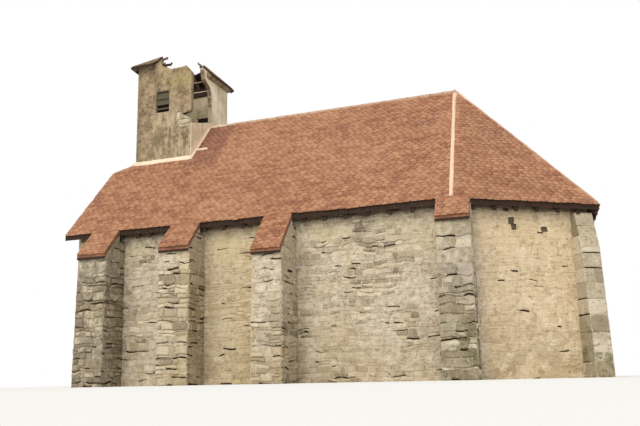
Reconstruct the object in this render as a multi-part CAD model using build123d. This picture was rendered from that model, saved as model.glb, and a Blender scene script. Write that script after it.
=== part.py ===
from build123d import *
import os
from math import hypot

# Small chapel: a rubble nave with a three-sided east end, a steep tiled roof with a west half hip,
# sloped buttresses with tiled caps, and a square belfry whose pyramid roof has fallen in.
# Millimetres. +X east, +Y north, +Z up. The origin is the middle of the plan on the rest plane.

# Roof
nave_roof_length = 10148     # west verge to the east end of the ridge
apse_roof_length = 3298      # east end of the ridge to the east eave
eave_half_width = 3487
eave_height = 4000
ridge_height = 8038
apse_hip_foot = 100          # the nave eave runs this far past the end of the ridge
apse_eave_half = 1598        # half the length of the straight east eave
half_hip_half_width = 1467   # half the level verge of the west half hip
slab_depth = 130             # tiles, laths and boards, measured upright
rafter_depth = 150           # measured upright
rafter_width = 100
rafter_spacing = 520
rafter_tail_setback = 30     # back from the eave
first_couple_gap = 50        # clear of the belfry
last_couple_gap = 210        # clear of the ridge end
belfry_rafter_count = 3      # short rafters on each side of the belfry
collar_height = 6100
collar_depth = 180
hip_rafter_width = 130
ridge_tile_length = 330
ridge_tile_radius = 115
ridge_bed_radius = 96
ridge_joint = 28
ridge_drop = 45
hip_fillet_width = 135
east_hip_fillet_width = 95
hip_fillet_height = 32
flashing_width = 100
flashing_height = 75

# Walls
wall_thickness = 700
eave_overhang = 250
verge_overhang = 250
plate_setback = 40
plate_height = 120
plate_width = 180
plate_notch = 60

# West doorway
door_half_width = 550
door_sill_height = 450
door_spring_height = 2100
surround_width = 240
surround_depth = 330
door_thickness = 60

# Buttresses on the long sides: three from the west verge, the fourth from the end of the ridge
buttress_starts = [868, 3208, 5758]
corner_buttress_lead = 240
buttress_widths = [830, 820, 730, 750]
cap_reaches = [600, 590, 830, 410]       # tiled cap past the eave
buttress_cap_lip = 60
buttress_batter = 60
buttress_eave_gap = 20                   # below the rafter tails

# Buttresses square to the slanting walls of the east end
apse_buttress_width = 460
apse_buttress_top_reach = 170
apse_buttress_mid_reach = 350
apse_buttress_mid_height = 2950
apse_buttress_toe_clearance = 12

# Belfry
tower_west_inset = 618       # west verge to the west face
tower_length = 1855
tower_half_width = 1235
tower_wall = 140
tower_beam_depth = 300
cross_beam_width = 300
beam_end_gap = 30             # clear of the wall plates
tower_eave_overhang = 170
tower_eave_height = 9760
tower_apex_height = 10880
tower_slab_depth = 60
tower_rafter_depth = 80
tower_rafter_width = 90
tower_sag_angle = 5
tower_sag_pivot = 200        # north of the middle
cove_depth = 227             # at the wall, below the boards
cove_setback = 25
cove_clearance = 0.3
cove_length = 1468           # south from the north corner
opening_width = 470
opening_sill_drop = 1560     # below the belfry eave
opening_head_drop = 850
south_opening_west = 55      # from the middle of the belfry
north_opening_east = 140
north_opening_raise = 280
louvre_thickness = 30
louvre_setback = 25
louvre_lean = 0.2            # back for each unit of height
north_plate_depth = 260      # timber along the top of the north wall, inside
north_plate_width = 50
north_plate_length = 1150
north_plate_drop = 100       # below the belfry eave

# Louvre boards, as the drops of their top and bottom edges below the belfry eave
louvre_drops = [(910, 1120), (1090, 1310), (1410, 1455)]

# Broken edges of the belfry, drawn from the corner named and below the belfry eave
south_wall_chip = [(0, 1880), (150, 1800), (300, 1700), (0, 1620)]                      # from the east
south_wall_top = [(0, 490), (50, 320), (185, 160), (330, 185), (710, 190), (850, 105), (1010, 45),
                  (1060, -40)]
west_wall_top = [(938, -40), (848, 60), (558, 140), (0, 100)]                           # from the north
north_wall_top = [(262, -40), (182, 120), (0, 110)]                                     # from the west
east_wall_breach = [(360, 1900), (600, 1850), (800, 1760), (1070, 1660), (1370, 1545), (1350, 1060),
                    (1310, 565), (1253, 436), (1133, 342), (1002, 308), (885, 241), (826, 31),
                    (790, -40)]                                                     # from the south

# Remains of the belfry roof, as plan outlines drawn inwards from their eave tips
southwest_outline = [(-60, -60), (740, -60), (800, 260), (700, 470), (640, 790), (520, 920), (390, 1170),
                     (240, 1330), (120, 1580), (-60, 1640)]
northeast_outline = [(-60, -60), (-60, 1640), (170, 1570), (330, 1290), (520, 1120), (700, 830),
                     (830, 690), (1010, 650), (1230, 610), (1420, 430), (1490, 170), (1540, -60)]
southwest_hip_end = (750, 905)           # broken ends of the rafters, from the same tips
southwest_rafter = (615, 750)
northeast_hip_end = (775, 933)
northeast_rafter = (1120, 773)
east_rafter = (1270, 685)
timber_setback = 40

# Worked out from the sizes above
roof_length = nave_roof_length + apse_roof_length
west_verge = -roof_length / 2
apex_x = west_verge + nave_roof_length
east_eave = apex_x + apse_roof_length
nave_slope = (ridge_height - eave_height) / eave_half_width
wall_half_width = eave_half_width - eave_overhang
wall_inner_half = wall_half_width - wall_thickness
wall_west = west_verge + verge_overhang
wall_west_inner = wall_west + wall_thickness
tower_west = west_verge + tower_west_inset
tower_east = tower_west + tower_length
tower_middle = tower_west + tower_length / 2
low_plane = tower_eave_height - tower_length
high_plane = tower_apex_height + tower_slab_depth
roof_at_tower = eave_height + nave_slope * (eave_half_width - tower_half_width)
half_hip_height = eave_height + nave_slope * (eave_half_width - half_hip_half_width)


def roof_height(y):
    return eave_height + nave_slope * (eave_half_width - abs(y))


def rafter_underside(y):
    return roof_height(y) - slab_depth - rafter_depth


plate_top = rafter_underside(wall_half_width - plate_setback) + plate_notch
wall_top = plate_top - plate_height

# The slanting eave of the east end, as a unit normal and its distance from the origin
hip_foot_x = apex_x + apse_hip_foot
slant_x = east_eave - hip_foot_x
slant_y = eave_half_width - apse_eave_half
slant_length = hypot(slant_x, slant_y)
normal_x = slant_y / slant_length
normal_y = -slant_x / slant_length
slant_offset = normal_x * hip_foot_x - normal_y * eave_half_width
slant_slope = (ridge_height - eave_height) / (slant_offset - normal_x * apex_x)
apse_buttress_top_height = (eave_height - slab_depth - rafter_depth - buttress_eave_gap
                            + slant_slope * (eave_overhang - apse_buttress_top_reach))


def apse_corners(inset):
    """Plan corners of the south side of the east end, this far inside the eaves."""
    y1 = -(eave_half_width - inset)
    x1 = (slant_offset - inset - normal_y * y1) / normal_x
    x2 = east_eave - inset
    y2 = (slant_offset - inset - normal_x * x2) / normal_y
    return (x1, y1), (x2, y2)


def plan_prism(points, bottom, top):
    face = make_face(Polyline([(x, y, bottom) for x, y in points], close=True))
    return extrude(face, amount=top - bottom, dir=(0, 0, 1))


def side_prism(points, x_from, x_to):
    """Extrude an outline of (y, z) points from one x to another."""
    face = make_face(Polyline([(x_from, y, z) for y, z in points], close=True))
    return extrude(face, amount=x_to - x_from, dir=(1, 0, 0))


def long_prism(points, y_from, y_to):
    """Extrude an outline of (x, z) points from one y to another."""
    face = make_face(Polyline([(x, y_from, z) for x, z in points], close=True))
    return extrude(face, amount=y_to - y_from, dir=(0, 1, 0))


def block(x0, x1, y0, y1, z0, z1):
    return plan_prism([(x0, y0), (x1, y0), (x1, y1), (x0, y1)], z0, z1)


def roof_layer(corners, top_drop, depth):
    """A sloping plate under a roof plane, with upright edges."""
    face = make_face(Polyline([(x, y, z - top_drop) for x, y, z in corners], close=True))
    return extrude(face, amount=depth, dir=(0, 0, -1))


def north(shape):
    return mirror(shape, about=Plane.XZ)


def solids(*shapes):
    found = []
    for shape in shapes:
        found.extend(shape.solids())
    return found


def save(name, *shapes):
    pieces = solids(*shapes)
    if len(pieces) == 1:
        export_step(pieces[0], f"parts/{name}.step")
    else:
        export_step(Compound(children=pieces), f"parts/{name}.step")


os.makedirs("parts", exist_ok=True)

# Roof planes as corner points
nave_plane = [
    (west_verge, -eave_half_width, eave_height),
    (hip_foot_x, -eave_half_width, eave_height),
    (apex_x, 0, ridge_height),
    (tower_east, 0, ridge_height),
    (tower_east, -tower_half_width, roof_at_tower),
    (tower_west, -tower_half_width, roof_at_tower),
    (west_verge, -half_hip_half_width, half_hip_height),
]
half_hip_plane = [
    (west_verge, -half_hip_half_width, half_hip_height),
    (tower_west, -tower_half_width, roof_at_tower),
    (tower_west, tower_half_width, roof_at_tower),
    (west_verge, half_hip_half_width, half_hip_height),
]
slant_plane = [
    (hip_foot_x, -eave_half_width, eave_height),
    (east_eave, -apse_eave_half, eave_height),
    (apex_x, 0, ridge_height),
]
east_plane = [
    (east_eave, -apse_eave_half, eave_height),
    (east_eave, apse_eave_half, eave_height),
    (apex_x, 0, ridge_height),
]

nave_roof = roof_layer(nave_plane, 0, slab_depth)
slant_roof = roof_layer(slant_plane, 0, slab_depth)
save("south_roof_slope", nave_roof)
save("north_roof_slope", north(nave_roof))
save("apse_southeast_roof", slant_roof)
save("apse_northeast_roof", north(slant_roof))
save("apse_east_roof", roof_layer(east_plane, 0, slab_depth))
save("west_half_hip_roof", roof_layer(half_hip_plane, 0, slab_depth))

# Walls
out_corner, out_east = apse_corners(eave_overhang)
in_corner, in_east = apse_corners(eave_overhang + wall_thickness)
side_wall = plan_prism(
    [(wall_west_inner, -wall_half_width), out_corner, in_corner, (wall_west_inner, -wall_inner_half)],
    0, wall_top)
slant_wall = plan_prism([out_corner, out_east, in_east, in_corner], 0, wall_top)
east_wall = plan_prism(
    [out_east, (out_east[0], -out_east[1]), (in_east[0], -in_east[1]), in_east], 0, wall_top)
save("nave_south_wall", side_wall)
save("nave_north_wall", north(side_wall))
save("apse_southeast_wall", slant_wall)
save("apse_northeast_wall", north(slant_wall))
save("apse_east_wall", east_wall)

# West wall, split beside and over the doorway
surround_half = door_half_width + surround_width
doorway = block(wall_west, wall_west_inner, -door_half_width, door_half_width, 0, door_spring_height)
doorway += extrude(Plane.YZ.offset(wall_west) * Pos(0, door_spring_height) * Circle(door_half_width),
                   amount=wall_thickness)
surround_space = block(wall_west, wall_west + surround_depth, -surround_half, surround_half,
                       door_sill_height, door_spring_height)
surround_space += extrude(Plane.YZ.offset(wall_west) * Pos(0, door_spring_height) * Circle(surround_half),
                          amount=surround_depth)
west_pier = block(wall_west, wall_west_inner, -wall_half_width, -door_half_width, 0, door_spring_height)
west_pier -= surround_space
gable_top = roof_at_tower - slab_depth
gable = side_prism(
    [(-wall_half_width, door_spring_height), (-wall_half_width, roof_height(wall_half_width) - slab_depth),
     (-tower_half_width, gable_top), (tower_half_width, gable_top),
     (wall_half_width, roof_height(wall_half_width) - slab_depth), (wall_half_width, door_spring_height)],
    wall_west, wall_west_inner)
gable -= surround_space + doorway
gable -= roof_layer(half_hip_plane, slab_depth - ridge_height, ridge_height)
save("west_wall_south", west_pier)
save("west_wall_north", north(west_pier))
save("west_gable", gable)
surround = surround_space - doorway
save("west_door_surround", surround)
save("west_door_sill", block(wall_west, wall_west_inner, -door_half_width, door_half_width,
                             0, door_sill_height))
door_face = wall_west + surround_depth
leaf = block(door_face, door_face + door_thickness, -door_half_width, door_half_width,
             door_sill_height, door_spring_height)
leaf += extrude(Plane.YZ.offset(door_face) * Pos(0, door_spring_height) * Circle(door_half_width),
                amount=door_thickness)
save("west_door", leaf)

# Side buttresses and their tiled caps
caps = []
under_eave = eave_height - slab_depth - rafter_depth - buttress_eave_gap
west_faces = [west_verge + start for start in buttress_starts] + [apex_x - corner_buttress_lead]
for number, x0 in enumerate(west_faces):
    x1 = x0 + buttress_widths[number]
    cap_front = eave_half_width + cap_reaches[number]
    cap_low = eave_height - nave_slope * cap_reaches[number]
    body_front = cap_front - buttress_cap_lip
    body_high = eave_height - nave_slope * (body_front - eave_half_width) - slab_depth
    body = side_prism(
        [(-wall_half_width, 0), (-body_front - buttress_batter, 0), (-body_front, body_high),
         (-eave_half_width, eave_height - slab_depth), (-eave_half_width, under_eave),
         (-wall_half_width, under_eave)], x0, x1)
    cap = side_prism(
        [(-eave_half_width, eave_height), (-cap_front, cap_low), (-cap_front, cap_low - slab_depth),
         (-eave_half_width, eave_height - slab_depth)], x0, x1)
    save(f"south_buttress_{number + 1}", body)
    save(f"north_buttress_{number + 1}", north(body))
    caps += [cap, north(cap)]
save("buttress_caps", *caps)

# East end buttress: an upright profile swept along the slanting wall, at its east corner
toe_reach = (east_eave - out_east[0]) / normal_x - apse_buttress_toe_clearance
run_x = slant_x / slant_length
run_y = slant_y / slant_length
profile = [(0, 0), (toe_reach, 0), (apse_buttress_mid_reach, apse_buttress_mid_height),
           (apse_buttress_top_reach, apse_buttress_top_height), (0, apse_buttress_top_height)]
profile_face = make_face(Polyline(
    [(out_east[0] + normal_x * reach, out_east[1] + normal_y * reach, height)
     for reach, height in profile], close=True))
apse_buttress = extrude(profile_face, amount=apse_buttress_width, dir=(-run_x, -run_y, 0))
save("apse_south_buttress", apse_buttress)
save("apse_north_buttress", north(apse_buttress))

# Wall plates, mitred round the east end
plate_out, plate_out_east = apse_corners(eave_overhang + plate_setback)
plate_in, plate_in_east = apse_corners(eave_overhang + plate_setback + plate_width)
side_plate = plan_prism([(wall_west_inner, plate_out[1]), plate_out, plate_in,
                         (wall_west_inner, plate_in[1])], wall_top, plate_top)
slant_plate = plan_prism([plate_out, plate_out_east, plate_in_east, plate_in], wall_top, plate_top)
east_plate = plan_prism([plate_out_east, (plate_out_east[0], -plate_out_east[1]),
                         (plate_in_east[0], -plate_in_east[1]), plate_in_east], wall_top, plate_top)
plates = side_plate + slant_plate + east_plate + north(slant_plate) + north(side_plate)
save("wall_plates", plates)

# Nave rafters: the layer under the boards, cut into strips and notched over the plates
ridge_plane = [nave_plane[0], nave_plane[1], nave_plane[2], (west_verge, 0, ridge_height)]
south_layer = roof_layer(ridge_plane, slab_depth, rafter_depth)
tail_half = eave_half_width - rafter_tail_setback
first_couple = tower_east + first_couple_gap
last_couple = apex_x - last_couple_gap - rafter_width
couple_count = round((last_couple - first_couple) / rafter_spacing) + 1
collar_low_half = eave_half_width - (collar_height - eave_height + slab_depth + rafter_depth) / nave_slope
collar_top_half = collar_low_half - collar_depth / nave_slope
rafters = []
collars = []
for number in range(couple_count):
    x0 = first_couple + number * (last_couple - first_couple) / (couple_count - 1)
    strip = block(x0, x0 + rafter_width, -tail_half, 0, 0, ridge_height)
    rafters.append((south_layer & strip) - plates)
    collars.append(side_prism([(-collar_low_half, collar_height), (collar_low_half, collar_height),
                               (collar_top_half, collar_height + collar_depth),
                               (-collar_top_half, collar_height + collar_depth)], x0, x0 + rafter_width))
side_spacing = (tower_east - wall_west_inner) / belfry_rafter_count
for number in range(belfry_rafter_count):
    x0 = wall_west_inner + (number + 0.5) * side_spacing - rafter_width / 2
    strip = block(x0, x0 + rafter_width, -tail_half, -tower_half_width, 0, ridge_height)
    rafters.append((south_layer & strip) - plates)
save("south_rafters", *rafters)
save("north_rafters", *[north(rafter) for rafter in rafters])
save("rafter_collars", *collars)


def strip_between(a, b, width):
    """A plan strip of this width along the line from a to b."""
    length = hypot(b[0] - a[0], b[1] - a[1])
    side_x = -(b[1] - a[1]) / length * width / 2
    side_y = (b[0] - a[0]) / length * width / 2
    return [(a[0] + side_x, a[1] + side_y), (b[0] + side_x, b[1] + side_y),
            (b[0] - side_x, b[1] - side_y), (a[0] - side_x, a[1] - side_y)]


# East end rafters: four hips that meet under the apex, and jacks square to each eave between them
slant_layer = roof_layer(slant_plane, slab_depth, rafter_depth)
east_layer = roof_layer(east_plane, slab_depth, rafter_depth)
apse_layer = south_layer + slant_layer + east_layer + north(slant_layer) + north(south_layer)
tail_corner, tail_east = apse_corners(rafter_tail_setback)
tail_west = last_couple + rafter_width
tail_limit = plan_prism([(tail_west, tail_corner[1]), tail_corner, tail_east, (tail_east[0], -tail_east[1]),
                         (tail_corner[0], -tail_corner[1]), (tail_west, -tail_corner[1])], 0, ridge_height)
apex = (apex_x, 0)
hips = plan_prism(strip_between(apex, (hip_foot_x, -eave_half_width), hip_rafter_width), 0, ridge_height)
hips += plan_prism(strip_between(apex, (east_eave, -apse_eave_half), hip_rafter_width), 0, ridge_height)
hips += north(hips)
save("hip_rafters", (apse_layer & hips & tail_limit) - plates)

jacks = []
slant_jacks = int(slant_length // rafter_spacing)
slant_area = plan_prism([(x, y) for x, y, z in slant_plane], 0, ridge_height)
for number in range(1, slant_jacks):
    along = number * slant_length / slant_jacks
    foot = (hip_foot_x + run_x * along, -eave_half_width + run_y * along)
    head = (foot[0] - normal_x * eave_half_width, foot[1] - normal_y * eave_half_width)
    strip = plan_prism(strip_between(foot, head, rafter_width), 0, ridge_height)
    jack = (slant_layer & strip & slant_area & tail_limit) - hips - plates
    jacks += [jack, north(jack)]
east_jacks = int(2 * apse_eave_half // rafter_spacing)
east_area = plan_prism([(x, y) for x, y, z in east_plane], 0, ridge_height)
for number in range(1, east_jacks):
    y = -apse_eave_half + number * 2 * apse_eave_half / east_jacks
    strip = block(apex_x, east_eave, y - rafter_width / 2, y + rafter_width / 2, 0, ridge_height)
    jacks.append((east_layer & strip & east_area & tail_limit) - hips - plates)
save("apse_jack_rafters", *jacks)

# Ridge: half-round tiles bedded in mortar
ridge_from = tower_east
ridge_run = apex_x - ridge_from
tile_count = round(ridge_run / ridge_tile_length)
pitch = ridge_run / tile_count
ridge_z = ridge_height - ridge_drop
ridge = extrude(Plane.YZ.offset(ridge_from) * Pos(0, ridge_z) * Circle(ridge_bed_radius), amount=ridge_run)
for number in range(tile_count):
    start = ridge_from + number * pitch + ridge_joint / 2
    ridge += extrude(Plane.YZ.offset(start) * Pos(0, ridge_z) * Circle(ridge_tile_radius),
                     amount=pitch - ridge_joint)
under_ridge = roof_layer([nave_plane[2], nave_plane[3], (tower_east, -eave_half_width, eave_height),
                          (apex_x, -eave_half_width, eave_height)], 0, ridge_height)
ridge -= under_ridge + north(under_ridge)
save("ridge_tiles", ridge)

# Hip fillets: mortar over the four hips of the east end
raised = roof_layer(nave_plane, -hip_fillet_height, hip_fillet_height)
raised += roof_layer(slant_plane, -hip_fillet_height, hip_fillet_height)
raised += roof_layer(east_plane, -hip_fillet_height, hip_fillet_height)
west_strip = plan_prism(strip_between((hip_foot_x, -eave_half_width), apex, hip_fillet_width), 0, high_plane)
east_strip = plan_prism(strip_between((east_eave, -apse_eave_half), apex, east_hip_fillet_width), 0, high_plane)
fillet = raised & (west_strip + east_strip)
fillet -= ridge
save("hip_fillets", fillet + north(fillet))

# Belfry walls
pyramid_half_x = tower_length / 2 + tower_eave_overhang
pyramid_half_y = tower_half_width + tower_eave_overhang
tip_sw = (tower_middle - pyramid_half_x, -pyramid_half_y, tower_eave_height)
tip_se = (tower_middle + pyramid_half_x, -pyramid_half_y, tower_eave_height)
tip_ne = (tower_middle + pyramid_half_x, pyramid_half_y, tower_eave_height)
tip_nw = (tower_middle - pyramid_half_x, pyramid_half_y, tower_eave_height)
peak = (tower_middle, 0, tower_apex_height)
pyramid_planes = [[tip_sw, tip_se, peak], [tip_se, tip_ne, peak], [tip_ne, tip_nw, peak], [tip_nw, tip_sw, peak]]


def pyramid(top_drop, depth):
    whole = roof_layer(pyramid_planes[0], top_drop, depth)
    for plane in pyramid_planes[1:]:
        whole += roof_layer(plane, top_drop, depth)
    return whole


def sagged(shape):
    axis = Axis((tower_middle, tower_sag_pivot, tower_eave_height), (1, 0, 0))
    return shape.rotate(axis, tower_sag_angle)


pyramid_tiles = pyramid(0, tower_slab_depth)
pyramid_timber = pyramid(tower_slab_depth, tower_rafter_depth)
clear_depth = high_plane - low_plane
above_boards = pyramid(tower_slab_depth - clear_depth, clear_depth)

# What is left of the roof at the south-west corner, and at the north-east corner, which has sagged
southwest_area = plan_prism([(tip_sw[0] + x, tip_sw[1] + y) for x, y in southwest_outline],
                            low_plane, high_plane)
northeast_area = plan_prism([(tip_ne[0] - x, tip_ne[1] - y) for x, y in northeast_outline],
                            low_plane, high_plane)
northeast_roof = sagged(pyramid_tiles & northeast_area)
save("belfry_roof_southwest", pyramid_tiles & southwest_area)
save("belfry_roof_northeast", northeast_roof)

# Broken hip and side rafters under both pieces
southwest_end = (tip_sw[0] + southwest_hip_end[0], tip_sw[1] + southwest_hip_end[1])
southwest_side = tip_sw[0] + southwest_rafter[0]
southwest_strips = plan_prism(strip_between(tip_sw[:2], southwest_end, tower_rafter_width),
                              low_plane, high_plane)
southwest_strips += block(southwest_side, southwest_side + tower_rafter_width, tip_sw[1],
                          tip_sw[1] + southwest_rafter[1], low_plane, high_plane)
northeast_end = (tip_ne[0] - northeast_hip_end[0], tip_ne[1] - northeast_hip_end[1])
northeast_side = tip_ne[0] - northeast_rafter[0]
east_side = tip_ne[1] - east_rafter[0]
northeast_strips = plan_prism(strip_between(tip_ne[:2], northeast_end, tower_rafter_width),
                              low_plane, high_plane)
northeast_strips += block(northeast_side - tower_rafter_width, northeast_side, tip_ne[1] - northeast_rafter[1],
                          tip_ne[1], low_plane, high_plane)
northeast_strips += block(tip_ne[0] - east_rafter[1], tip_ne[0], east_side, east_side + tower_rafter_width,
                          low_plane, high_plane)
timber_limit = block(tip_sw[0] + timber_setback, tip_ne[0] - timber_setback, tip_sw[1] + timber_setback,
                     tip_ne[1] - timber_setback, low_plane, high_plane)
southwest_rafters = pyramid_timber & southwest_strips & timber_limit
northeast_rafters = sagged(pyramid_timber & northeast_strips & timber_limit)
save("belfry_rafters", southwest_rafters, northeast_rafters)

beam_top = wall_top + tower_beam_depth
wall_foot = beam_top + tower_beam_depth
tower_inner_half = tower_half_width - tower_wall
tower_inner_west = tower_west + tower_wall
opening_sill = tower_eave_height - opening_sill_drop
opening_head = tower_eave_height - opening_head_drop
tower_rise = (tower_apex_height - tower_eave_height) / pyramid_half_x
wall_limit = tower_eave_height + tower_rise * (tower_wall + tower_eave_overhang) + tower_slab_depth


def opening(middle, raised_by, y_from, y_to):
    x0 = tower_middle + middle - opening_width / 2
    return block(x0, x0 + opening_width, y_from, y_to, opening_sill + raised_by, opening_head + raised_by)


def below_eave(points, corner, direction):
    """Turn broken-edge points, inward from a corner and down from the eave, into frame points."""
    return [(corner + direction * inward, tower_eave_height - drop) for inward, drop in points]


# South wall, with its broken top and chipped east corner
south_outline = [(wall_west_inner, wall_foot), (tower_east, wall_foot)]
south_outline += below_eave(south_wall_chip, tower_east, -1)
south_outline += below_eave(south_wall_top, tower_east, -1)
south_outline += [(south_outline[-1][0], wall_limit), (tower_inner_west, wall_limit),
                  (tower_inner_west, gable_top), (wall_west_inner, gable_top)]
tower_south = long_prism(south_outline, -tower_half_width, -tower_inner_half)
tower_south -= above_boards + southwest_rafters
tower_south -= opening(-south_opening_west, 0, -tower_half_width, -tower_inner_half)
save("belfry_south_wall", tower_south)

# North wall, up to the sagged roof and broken past its end
north_outline = [(wall_west_inner, wall_foot), (tower_east, wall_foot), (tower_east, wall_limit),
                 (tower_inner_west + north_wall_top[0][0], wall_limit)]
north_outline += below_eave(north_wall_top, tower_inner_west, 1)
north_outline += [(tower_inner_west, gable_top), (wall_west_inner, gable_top)]
tower_north = long_prism(north_outline, tower_inner_half, tower_half_width)
tower_north -= sagged(above_boards) + northeast_rafters
tower_north -= opening(north_opening_east, north_opening_raise, tower_inner_half, tower_half_width)
save("belfry_north_wall", tower_north)

# West wall, standing on the gable
west_outline = [(tower_half_width, gable_top), (-tower_half_width, gable_top), (-tower_half_width, wall_limit),
                (tower_half_width - west_wall_top[0][0], wall_limit)]
west_outline += below_eave(west_wall_top, tower_half_width, -1)
tower_west_wall = side_prism(west_outline, tower_west, tower_inner_west)
tower_west_wall -= above_boards + southwest_rafters
tower_west_wall -= block(tower_west, tower_inner_west, -opening_width / 2, opening_width / 2,
                         opening_sill, opening_head)
save("belfry_west_wall", tower_west_wall)

# East wall, with the breach beside the south corner
east_outline = [(-tower_inner_half, beam_top)]
east_outline += below_eave(east_wall_breach, -tower_half_width, 1)
east_outline += [(east_outline[-1][0], wall_limit), (tower_inner_half, wall_limit), (tower_inner_half, beam_top)]
tower_east_wall = side_prism(east_outline, tower_east - tower_wall, tower_east)
tower_east_wall -= sagged(above_boards) + northeast_rafters
save("belfry_east_wall", tower_east_wall)

# Plaster cove under the east eave
boards_at_face = tower_eave_height + tower_rise * tower_eave_overhang - tower_slab_depth - cove_clearance
boards_at_edge = tower_eave_height + tower_rise * cove_setback - tower_slab_depth - cove_clearance
cove = long_prism([(tower_east, boards_at_face - cove_depth),
                   (tower_east + tower_eave_overhang - cove_setback, boards_at_edge),
                   (tower_east, boards_at_face)], tower_half_width - cove_length, tower_half_width)
save("belfry_eave_cove", sagged(cove) - northeast_roof - northeast_rafters)

# Timber along the inside of the north wall, under the roof
plate_high = tower_eave_height - north_plate_drop + north_plate_depth
north_plate = block(tower_east - tower_wall - north_plate_length, tower_east - tower_wall,
                    tower_inner_half - north_plate_width, tower_inner_half,
                    plate_high - north_plate_depth, plate_high)
save("belfry_north_plate", north_plate - sagged(above_boards) - northeast_rafters)

# Beams under the belfry
beam_half = -plate_in[1] - beam_end_gap
cross_east = block(tower_east - cross_beam_width, tower_east, -beam_half, beam_half, wall_top, beam_top)
cross_west = block(wall_west_inner, wall_west_inner + cross_beam_width, -beam_half, beam_half,
                   wall_top, beam_top)
save("belfry_cross_beams", cross_east, cross_west)
side_beam = block(wall_west_inner, tower_east, -tower_half_width, -tower_inner_half, beam_top, wall_foot)
save("belfry_side_beams", side_beam, north(side_beam))

# Louvre boards in the three openings
louvre_boards = []
for top_drop, bottom_drop in louvre_drops:
    high = tower_eave_height - top_drop
    low = tower_eave_height - bottom_drop
    lean = (high - low) * louvre_lean
    outer = tower_half_width - louvre_setback
    outline = [(outer, low), (outer - louvre_thickness, low), (outer - louvre_thickness - lean, high),
               (outer - lean, high)]
    north_from = tower_middle + north_opening_east - opening_width / 2
    south_from = tower_middle - south_opening_west - opening_width / 2
    raised_outline = [(y, z + north_opening_raise) for y, z in outline]
    louvre_boards.append(side_prism(raised_outline, north_from, north_from + opening_width))
    louvre_boards.append(side_prism([(-y, z) for y, z in outline], south_from, south_from + opening_width))
    outer = tower_west + louvre_setback
    louvre_boards.append(long_prism([(outer, low), (outer + louvre_thickness, low),
                                     (outer + louvre_thickness + lean, high), (outer + lean, high)],
                                    -opening_width / 2, opening_width / 2))
save("belfry_louvres", *louvre_boards)

# Mortar flashing round the foot of the belfry
flashing_roof = roof_layer(ridge_plane, -flashing_height, flashing_height)
flashing_roof += north(flashing_roof)
flashing_roof -= block(west_verge, tower_west, -eave_half_width, eave_half_width, 0, high_plane)
flashing_roof += roof_layer(half_hip_plane, -flashing_height, flashing_height)
ring = block(tower_west - flashing_width, tower_east + flashing_width, -tower_half_width - flashing_width,
             tower_half_width + flashing_width, 0, high_plane)
ring -= block(tower_west, tower_east, -tower_half_width, tower_half_width, 0, high_plane)
save("belfry_flashing", (flashing_roof & ring) - ridge)
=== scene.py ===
import math
import random

import bmesh
import bpy
import numpy
from mathutils import Matrix, Vector, noise


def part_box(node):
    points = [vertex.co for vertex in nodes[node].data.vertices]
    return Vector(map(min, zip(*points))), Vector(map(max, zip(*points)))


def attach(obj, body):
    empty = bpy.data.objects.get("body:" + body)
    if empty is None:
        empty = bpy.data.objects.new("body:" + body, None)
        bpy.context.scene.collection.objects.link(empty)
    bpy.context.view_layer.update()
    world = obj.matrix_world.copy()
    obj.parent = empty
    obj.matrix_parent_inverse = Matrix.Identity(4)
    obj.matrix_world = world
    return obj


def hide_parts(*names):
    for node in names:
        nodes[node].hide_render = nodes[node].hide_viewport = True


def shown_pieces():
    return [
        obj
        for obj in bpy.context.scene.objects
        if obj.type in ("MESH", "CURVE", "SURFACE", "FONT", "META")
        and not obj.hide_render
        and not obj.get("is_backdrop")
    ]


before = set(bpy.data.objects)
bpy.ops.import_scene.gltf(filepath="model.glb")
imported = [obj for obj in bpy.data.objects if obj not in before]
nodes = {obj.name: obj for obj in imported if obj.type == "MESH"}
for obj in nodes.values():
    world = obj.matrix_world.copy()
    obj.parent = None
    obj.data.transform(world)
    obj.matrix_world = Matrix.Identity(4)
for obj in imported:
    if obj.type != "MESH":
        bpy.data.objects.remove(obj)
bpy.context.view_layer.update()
scene = bpy.context.scene
up = Vector((0, 0, 1))
noise.seed_set(7)      # the same wander in every run

# Places read from the frame, in metres, and the upright depth of the roof plates
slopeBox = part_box("south_roof_slope")
eaveHalf = -slopeBox[0].y
ridgeTop = slopeBox[1].z
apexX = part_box("apse_east_roof")[0].x
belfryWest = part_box("belfry_west_wall")[0].x
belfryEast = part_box("belfry_east_wall")[1].x
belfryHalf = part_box("belfry_west_wall")[1].y
plateDepth = 0.13
roofPitch = (ridgeTop - slopeBox[0].z - plateDepth) / eaveHalf      # rise of the roof for each metre across


def shade(colour):      # from a colour as it looks on a screen, 0 to 255, to the one that a shader takes
    return tuple(((c / 255 + 0.055) / 1.055) ** 2.4 for c in colour) + (1,)


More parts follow.
